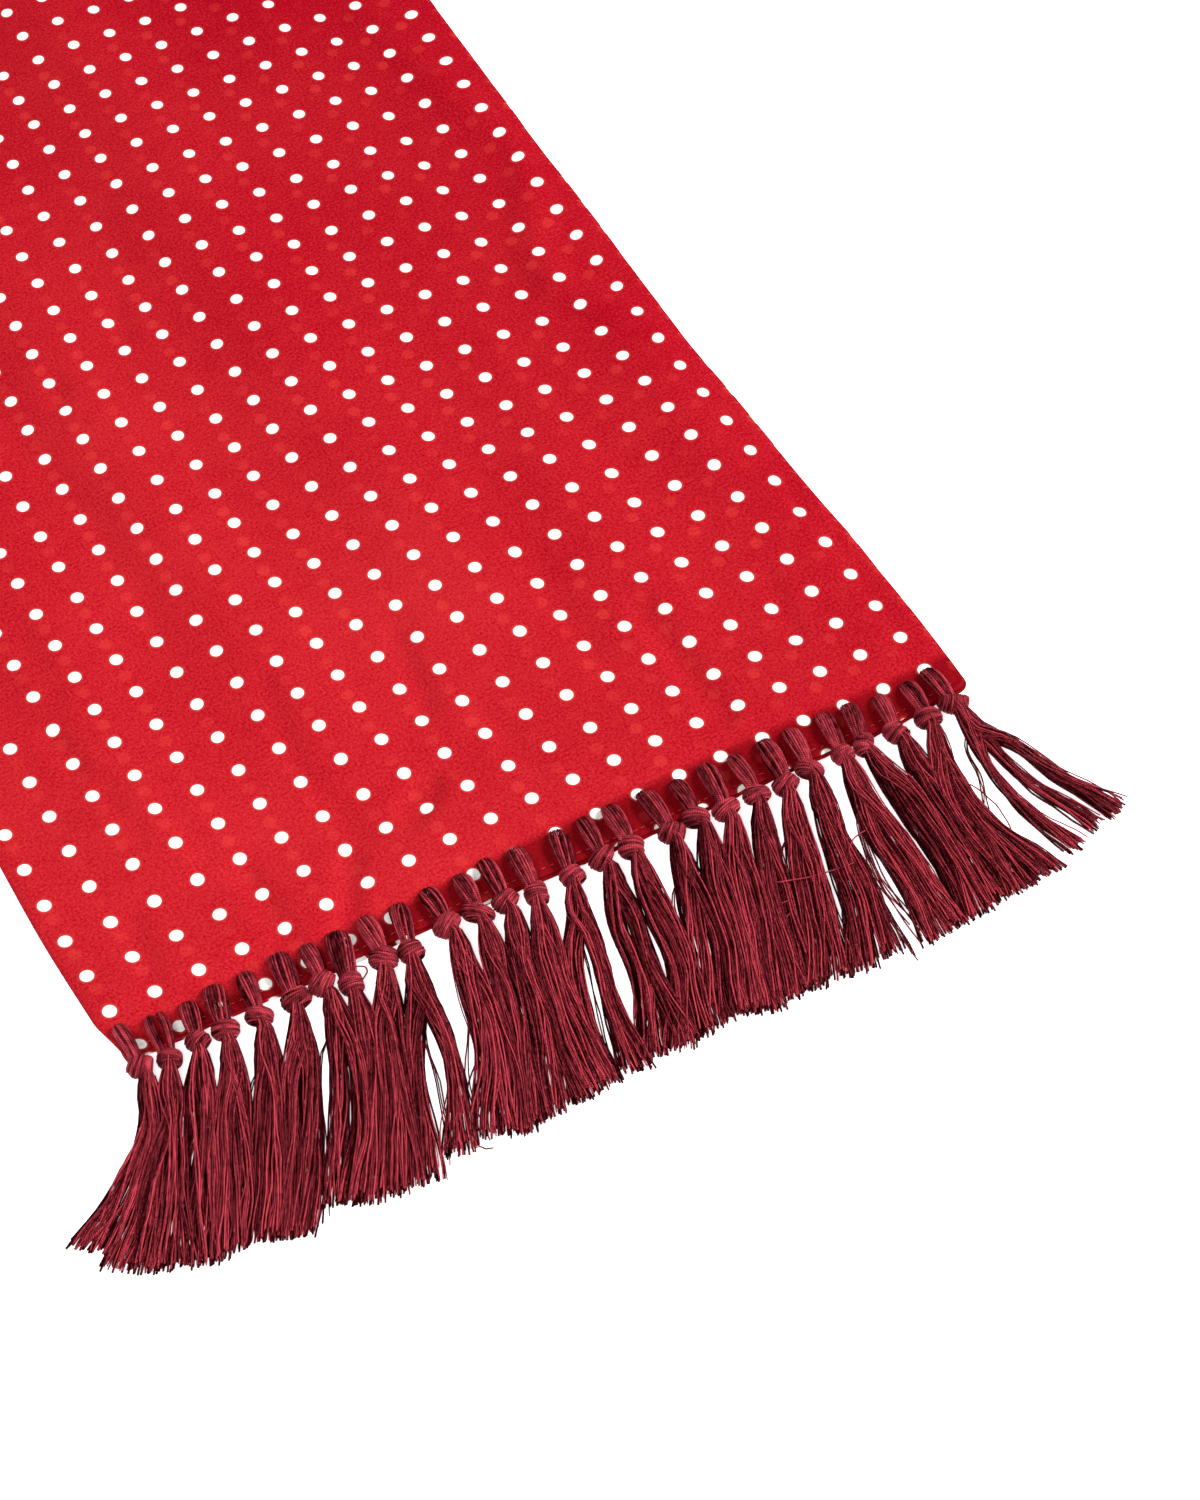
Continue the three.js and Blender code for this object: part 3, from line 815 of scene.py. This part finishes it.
def loop_threads(bundle, dice, top, knot, width, hollow):
    """The loop over the hem: its upper leg shows, the lower one runs under the cloth."""
    way = knot - top
    reach = np.linalg.norm(way)
    way = np.array([*(way / reach), 0.0])
    across = np.array([-way[1], way[0], 0.0])
    upper = through([
        (2.0, 0.9), (0.9, 2.0), (0.3, 3.0), (1.2, 4.1),
        (3.0, 4.8), (0.5 * reach, 5.1), (reach - 3.0, 4.6), (reach, 3.2),
    ], 15)
    lower = through([(1.6, 2.0), (2.2, 1.1), (4.0, 0.95), (reach - 4.0, 1.0), (reach, 2.6)], 8)
    turn = dice.uniform(-0.9, 0.9)
    legs = ((upper, width / 2 - 0.1, 1.15, 20), (lower, 1.9, 0.45, 7))
    for centre, half_width, half_depth, count in legs:
        run = np.linspace(0, 1, len(centre))
        size = smooth_rows(LOOP_WIDTHS, run)[0]
        ahead = np.gradient(centre, axis=0)
        normal = np.stack([-ahead[:, 1], ahead[:, 0]], axis=-1)
        normal /= np.linalg.norm(normal, axis=1, keepdims=True)
        for index in range(count):
            angle = 2 * np.pi * (index + 0.5) / count + turn * run
            side = np.cos(angle)
            side = np.where(side < 0, -1, 1) * (hollow + (1 - hollow) * abs(side))
            deep = np.sin(angle) * half_depth * dice.uniform(0.9, 1.1)
            flat = centre + normal * deep[:, None] * size[:, None]
            wander = dice.uniform(-0.12, 0.12) * np.sin(np.pi * run * dice.uniform(1, 3))
            lateral = side * half_width * size + wander
            path = np.array([*top, 0.0]) + flat[:, :1] * way + lateral[:, None] * across
            bundle.thread(path + flat[:, 1:] * UP, across, LOOP_THREAD, dice.uniform(0.15, 0.95))
    return way, across


def knot_threads(bundle, dice, knot, way, across, wide, long, slant):
    """The knot: threads wound round the bundle aslant into a full ball."""
    centre = np.array([*knot, KNOT_HEIGHT])
    around = np.linspace(0, 2 * np.pi, 20, endpoint=False)
    half_width = 1.06 * wide / 2 - 0.2
    long = 1.12 * long
    windings = round(long / WINDING_PITCH)
    for index in range(windings):
        where = -0.93 + 1.86 * (index + 0.5) / windings
        tilt = math.radians(slant + 16 * where)
        axis = way * np.cos(tilt) + across * np.sin(tilt)
        side = across * np.cos(tilt) - way * np.sin(tilt)
        shrink = (1 - abs(where) ** 2.6) ** (1 / 2.6)
        phase = dice.uniform(0, 2 * np.pi)
        wobble = 1 + 0.03 * np.sin(2 * around + phase)
        slip = 0.35 * np.sin(around + 0.6 * where) + 0.1 * np.sin(around + phase)
        path = (
            centre
            + axis * (where * (long / 2 - 0.2) + slip)[:, None]
            + side * (half_width * shrink * wobble * np.cos(around))[:, None]
            + UP * (KNOT_HALF_DEPTH * shrink * wobble * np.sin(around))[:, None]
        )
        bundle.thread(path, axis, KNOT_THREAD, dice.uniform(0.3, 0.9), closed=True)


def gathered(parts):
    """Where all parts of a tassel still run together: mean side, lean and bend near the knot."""
    full = [part for part in parts if part[1] >= FEW_THREADS]
    total = sum(part[1] for part in full)
    return [sum(part[1] * part[column] for part in full) / total for column in (2, 4, 5)]


def lying(lean):
    """The directions along and across threads that lie at a lean, in degrees."""
    lean = math.radians(lean)
    outward = np.array([math.sin(lean), -math.cos(lean), 0.0])
    return outward, np.array([math.cos(lean), math.sin(lean), 0.0])


def wave(dice, run, fewest, most):
    """A sine wave along a thread, whose turns and start are drawn."""
    turns = dice.uniform(fewest, most)
    return np.sin(2 * np.pi * run * turns + dice.uniform(0, 6.3))


def skirt_threads(bundle, dice, knot, together, part, fullness):
    """One part of the loose threads: they fall from the knot and fan out on the table."""
    _, count, side, length, lean, bend_near, bend_far, near, mid, end, layer = part
    outward, across = lying(lean)
    mean_side, mean_lean, mean_bend = together
    mean_outward, mean_across = lying(mean_lean)
    few = count < FEW_THREADS
    start = np.array([knot[0] + side, knot[1] - 3.0, 0])
    mean_start = np.array([knot[0] + 0.55 * mean_side, knot[1] - 2.6, 0])
    mean_near = mean_start + mean_outward * BEND_NEAR_AT * length + mean_across * mean_bend
    rest = REST_HEIGHT + PILE_STEP * layer
    own_near = start + outward * BEND_NEAR_AT * length + across * bend_near
    if not few:
        own_near = 0.72 * own_near + 0.28 * mean_near
    middle = through([
        np.array([*knot, 0]) + UP * KNOT_HEIGHT,
        mean_start + UP * 2.9,
        mean_start + mean_outward * 0.11 * length + mean_across * mean_bend * 0.45 + UP * 1.3,
        own_near + UP * rest,
        start + outward * BEND_FAR_AT * length + across * bend_far + UP * rest,
        start + outward * length + UP * rest * 0.7,
    ], 17)
    run = np.linspace(0, 1, len(middle))
    bell = np.array([
        (0, 2.0), (0.05, 3.8), (0.1, 6.0), (0.17, 7.6),
        (0.32, 1.8 * near), (0.66, 1.5 * mid), (1, 1.35 * end),
    ])
    if few:
        bell = np.array([(0, 0.5), (0.1, near), (0.3, near), (0.66, mid), (1, end)])
    else:
        count = round(count * fullness)
    width = smooth_rows(bell, run)[0]
    thickness = np.clip(count * 0.4 / width, 0.1, 2.6)
    free = smooth_step(run, 0.08, 0.3)
    sway = 0.3 * wave(dice, run, 1.2, 2.0) * free
    twist = dice.uniform(-3.0, 3.0)
    under = 0 if few else round(UNDER_SHARE * count)
    lock_count = max(1, round((count - under) / THREADS_IN_LOCK))
    locks = []
    for index in range(lock_count):
        spot = 2 * np.pi * (index + dice.uniform(-0.3, 0.3)) / lock_count
        locks.append((
            spot, math.sqrt(dice.uniform(0.1, 1)), dice.uniform(-5.0, 5.0),
            dice.uniform(0, 6.3), dice.uniform(-0.16, 0.16),
        ))
    for index in range(count):
        spot, away, own_twist, phase, shade = locks[index % lock_count]
        spot = spot + twist * run
        size = np.minimum(1.25, width * 0.3) * (0.8 + 0.4 * run)
        own_angle = 2 * np.pi * index / count * lock_count + own_twist * run + phase
        out = math.sqrt(dice.uniform(0.15, 1)) * size
        if few:
            lateral = (2 * (index + 0.5) / count - 1) * width / 2
            height = np.full_like(run, dice.uniform(0, 0.3))
        elif index < under:
            lateral = (2 * (index + dice.uniform(0.3, 0.7)) / under - 1) * width * 0.42
            lateral = lateral + 0.2 * wave(dice, run, 0.5, 1.5)
            height = np.full_like(run, dice.uniform(0, 0.3)) * thickness * 0.5
        else:
            lateral = np.cos(spot) * away * (width / 2 - size) + np.cos(own_angle) * out
            height = (np.sin(spot) * away + 1) / 2 * (thickness - 0.5)
            height = height + (np.sin(own_angle) + 1) / 2 * out + 0.3
        # Painted shade: threads lower in the pile get a darker tone
        depth = np.clip(height / (thickness + 0.8), 0, 1)
        own = 0.2 * wave(dice, run, 2, 4.5)
        ragged = dice.normal(0, 0.5) * smooth_step(run, 0.75, 1.05)
        lateral = lateral + sway + own * free + ragged
        height = height + 0.08 * wave(dice, run, 2, 5) * free
        longer = dice.uniform(-0.045, 0.015) * smooth_step(run, 0.5, 1)
        path = middle + lateral[:, None] * across + height[:, None] * UP
        path = path + outward * (longer * length)[:, None]
        path[:, 2] = np.maximum(path[:, 2], THREAD_RADIUS + 0.03)
        tone = np.clip(0.75 * dice.uniform(0, 1) + 0.45 * depth - 0.08 + shade, 0, 1)
        if index < under:
            # The threads under the locks are painted at half tone, as shade under the threads
            # above
            bundle.thread(path, across, UNDER_THREAD, 0.5 * tone, sides=3)
        else:
            radius = THREAD_RADIUS * dice.uniform(0.74, 0.92)
            bundle.thread(path, across, radius, tone, sides=3)


# Single threads that have come away: tassel, start (x, y, height), end (x, y, height), how far
# it bows to its left, and its shade
STRAY_TABLE = [
    (8, -60.6, -700.6, 5.2, -60.4, -704.8, 4.6, 2.6, 0.7),
    (11, -45.2, -737.8, 1.4, -56.6, -757, 0.4, -2.4, 0.5),
    (11, -56.6, -757, 0.4, -53.6, -761, 0.4, -1, 0.5),
    (17, 31.4, -740.4, 3, 46.1, -738.6, 3.2, 0.9, 0.8),
    (18, 31.6, -746, 2.8, 46.4, -740.5, 3, -0.8, 0.7),
    (21, 74.4, -730.4, 3, 66.1, -737.6, 3.6, -2.4, 0.9),
    (21, 66.1, -737.6, 3.6, 45.4, -732.3, 3.4, 0.8, 0.9),
    (23, 72.1, -716.2, 1.8, 65.7, -769.1, 0.5, -1.8, 0.5),
    (24, 75.6, -727.3, 1.2, 71, -761.9, 0.5, -1.6, 0.5),
    (24, 76.4, -722.3, 1.2, 73.4, -763, 0.5, -1.2, 0.3),
    (24, 76, -724.3, 1.2, 69.2, -765, 0.5, -2.4, 0.6),
    (27, 106.7, -731.6, 2, 108.3, -748.9, 1, 1.6, 0.7),
]


def stray_thread(bundle, dice, x0, y0, z0, x1, y1, z1, bow, tone):
    """A single loose thread between two points, in a slightly uneven arc."""
    start = np.array([x0, y0, z0])
    end = np.array([x1, y1, z1])
    way = (end - start) / np.linalg.norm(end - start)
    left = np.array([-way[1], way[0], 0.0])
    share = np.linspace(0, 1, 13)[:, None]
    wander = 0.12 * np.sin(2 * np.pi * share * dice.uniform(1.5, 3) + dice.uniform(0, 6))
    arc = 4 * share * (1 - share) * bow + wander * np.sin(np.pi * share)
    path = start + (end - start) * share + left * arc
    bundle.thread(path, UP, STRAY_THREAD, tone, sides=3)


# The thread is painted dark in the grooves of its twist (painted shade) and light on its raised
# strands (painted highlight), and its raised strands have a dull shine
TWIST_LENGTH = 1.2
tint = (1.0, 0.45, 0.5, 1.0)
finish = {"Roughness": 0.45, "Specular_IOR_Level": 0.05, "Specular_Tint": tint}
thread_silk, tree, shader = new_material("tassel thread", **finish)
on_thread = node(tree, "ShaderNodeUVMap", {"uv_map": "thread"}).outputs[0]
round_it, down_it, _ = node(tree, "ShaderNodeSeparateXYZ", Vector=on_thread).outputs
turn = maths(tree, "ADD", round_it, maths(tree, "DIVIDE", down_it, TWIST_LENGTH))
ply = maths(tree, "ABSOLUTE", maths(tree, "SINE", maths(tree, "MULTIPLY", turn, 2 * math.pi)))

# Each thread has its own tone, partly painted shade for threads lower in the pile, with lighter
# and darker lengths along it: slubs, and painted shade where it passes under other threads
tone = node(tree, "ShaderNodeAttribute", {"attribute_name": "tone"}).outputs["Fac"]
apart = maths(tree, "MULTIPLY", tone, 900.0)
spot = node(tree, "ShaderNodeCombineXYZ", X=apart, Y=down_it).outputs[0]
slubs_and_shade = node(tree, "ShaderNodeTexNoise", Vector=spot, Scale=0.35, Detail=2.0, Roughness=0.6)
limits = {"From_Min": 0.3, "From_Max": 0.7, "To_Min": -0.3, "To_Max": 0.3}
slubs_and_shade = node(tree, "ShaderNodeMapRange", Value=slubs_and_shade.outputs[0], **limits)
tone = maths(tree, "ADD", tone, slubs_and_shade.outputs[0])
tone = node(tree, "ShaderNodeClamp", Value=tone).outputs[0]
tone = maths(tree, "POWER", tone, 1.6)
groove_shade = mixed(tree, tone, linear(20, 0, 0), linear(58, 0, 8))
crest_highlight = mixed(tree, tone, linear(40, 0, 4), linear(204, 68, 82))
colour = mixed(tree, maths(tree, "POWER", ply, 0.8), groove_shade, crest_highlight)
tree.links.new(colour, shader.inputs["Base Color"])
bump = node(tree, "ShaderNodeBump", Height=ply, Strength=0.6, Distance=0.0001)
tree.links.new(bump.outputs[0], shader.inputs["Normal"])

for end, turn in (("near", 1.0), ("far", -1.0)):
    for number, row in enumerate(TASSEL_TABLE, start=1):
        dice = np.random.RandomState(100 * (end == "far") + number)
        top = row[0:2]
        knot = row[2:4]
        loop_width, knot_width, knot_length, slant, hollow = row[4:9]
        bundle = Bundle()
        way, across = loop_threads(bundle, dice, top, knot, loop_width, hollow)
        knot_threads(bundle, dice, knot, way, across, knot_width, knot_length, slant)
        parts = [part for part in SKIRT_TABLE if part[0] == number]
        for part in parts:
            skirt_threads(bundle, dice, knot, gathered(parts), part, FULLNESS[end])
        for tassel, *stray in STRAY_TABLE:
            if tassel == number and end == "near":
                stray_thread(bundle, dice, *stray)
        piece = bundle.piece(f"{end}_tassel_threads_{number:02d}", turn)
        piece.data.materials.append(thread_silk)
        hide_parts(f"{end}_tassel_{number:02d}")
        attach(piece, "root")


# The sewing: short straight stitches of paler red silk along both hems, and slip stitches
# that show as small slanting ticks along the seam edge
def stitch_row(name, ends, radius, sunk):
    """One mesh of short stitches, each from one (across, along) to another, sunk at its ends."""
    bundle = Bundle()
    share = np.array([0, 0.2, 0.5, 0.8, 1.0])
    for (across, along), (across_to, along_to) in ends:
        across = across + (across_to - across) * share
        along = along + (along_to - along) * share
        x, y = place(across, along)
        top = front_height(across, along) + SILK_THICKNESS / 2
        z = top + radius * 0.4 - sunk * (2 * share - 1) ** 4
        bundle.thread(np.stack([x, y, z], axis=-1), UP, radius, 0.5)
    return bundle.piece(name)


finish = {"Roughness": 0.35, "Specular_IOR_Level": 0.3}
sewing_silk, tree, shader = new_material("sewing silk", **finish)
on_thread = node(tree, "ShaderNodeUVMap", {"uv_map": "thread"}).outputs[0]
strand = node(tree, "ShaderNodeTexNoise", Vector=on_thread, Scale=2.5, Detail=1.0).outputs[0]
colour = mixed(tree, strand, linear(150, 30, 34), linear(216, 110, 106))
tree.links.new(colour, shader.inputs["Base Color"])

TOPSTITCH_PITCH = 2.7
TOPSTITCH_LENGTH = 1.6
SLIP_PITCH = 6.2
SLIP_SLANT = 1.1
dice = np.random.RandomState(41)
topstitches = []
for along in (HEM_STITCH_INSET, CLOTH_LENGTH - HEM_STITCH_INSET):
    for start in np.arange(2.0, CLOTH_WIDTH - 3.5, TOPSTITCH_PITCH):
        first = start + dice.uniform(-0.25, 0.25)
        line = along + dice.uniform(-0.12, 0.12)
        end = (first + TOPSTITCH_LENGTH, line + dice.uniform(-0.15, 0.15))
        topstitches.append(((first, line), end))
slip_stitches = []
for start in np.arange(8.0, CLOTH_LENGTH - 9, SLIP_PITCH):
    along = start + dice.uniform(-0.8, 0.8)
    edge = CLOTH_WIDTH if along < HALF_LENGTH else 0.0
    inward = -1 if along < HALF_LENGTH else 1
    end = (edge + 1.25 * inward, along + SLIP_SLANT)
    slip_stitches.append(((edge + 0.35 * inward, along), end))
sewing = [
    stitch_row("hem_topstitch", topstitches, radius=0.085, sunk=0.16),
    stitch_row("seam_slip_stitch", slip_stitches, radius=0.09, sunk=0.12),
]
for piece in sewing:
    piece.data.materials.append(sewing_silk)
    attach(piece, "root")


# The table: a plain pale surface, lit a little from below like a light table, under plain
# soft light from the front left and the right
TABLE_REACH = 60.0
WHITE = (1, 1, 1, 1)
corners = TABLE_REACH * np.array([(-1.0, -1, 0), (1, -1, 0), (1, 1, 0), (-1, 1, 0)])
table = make_mesh("table", corners, np.array([[0, 1, 2, 3]]), corners[:, :2])
look = {"Base_Color": (0.95, 0.95, 0.95, 1), "Roughness": 0.8, "Specular_IOR_Level": 0.1}
glow = {"Emission_Color": WHITE, "Emission_Strength": 0.7}
table.data.materials.append(new_material("table", **look, **glow)[0])

# Both lights are round and shine on the near end: name, place, size and power
for name, stands, size, power in (
    ("key", (4.4, -1.85, 3.8), 3.4, 580),
    ("front", (-0.45, -1.05, 0.75), 0.6, 5.8),
):
    data = bpy.data.lights.new(name, "AREA")
    data.shape = "DISK"
    data.size = size
    data.energy = power
    light = bpy.data.objects.new(name, data)
    light.location = stands
    aim = Vector((0, -0.55, 0)) - Vector(stands)
    light.rotation_euler = aim.to_track_quat("-Z", "Y").to_euler()
    bpy.context.scene.collection.objects.link(light)

world = bpy.data.worlds.new("studio")
world.use_nodes = True
background = world.node_tree.nodes["Background"]
background.inputs["Color"].default_value = WHITE
background.inputs["Strength"].default_value = 0.36
bpy.context.scene.world = world
bpy.context.scene.view_settings.view_transform = "Standard"


# The camera stands before the near hem and to its left, looking down at it
stands = Matrix.Translation((-0.19543, -1.07247, 0.67256))
right = (0.866377, -0.499299, -0.009562)
up = (0.417077, 0.712911, 0.563742)
backward = (-0.274659, -0.492401, 0.825896)
data = bpy.data.cameras.new("camera")
data.lens = 72.98
data.sensor_width = 36
camera = bpy.data.objects.new("camera", data)
camera.matrix_world = stands @ Matrix((right, up, backward)).transposed().to_4x4()
bpy.context.scene.collection.objects.link(camera)
bpy.context.scene.camera = camera
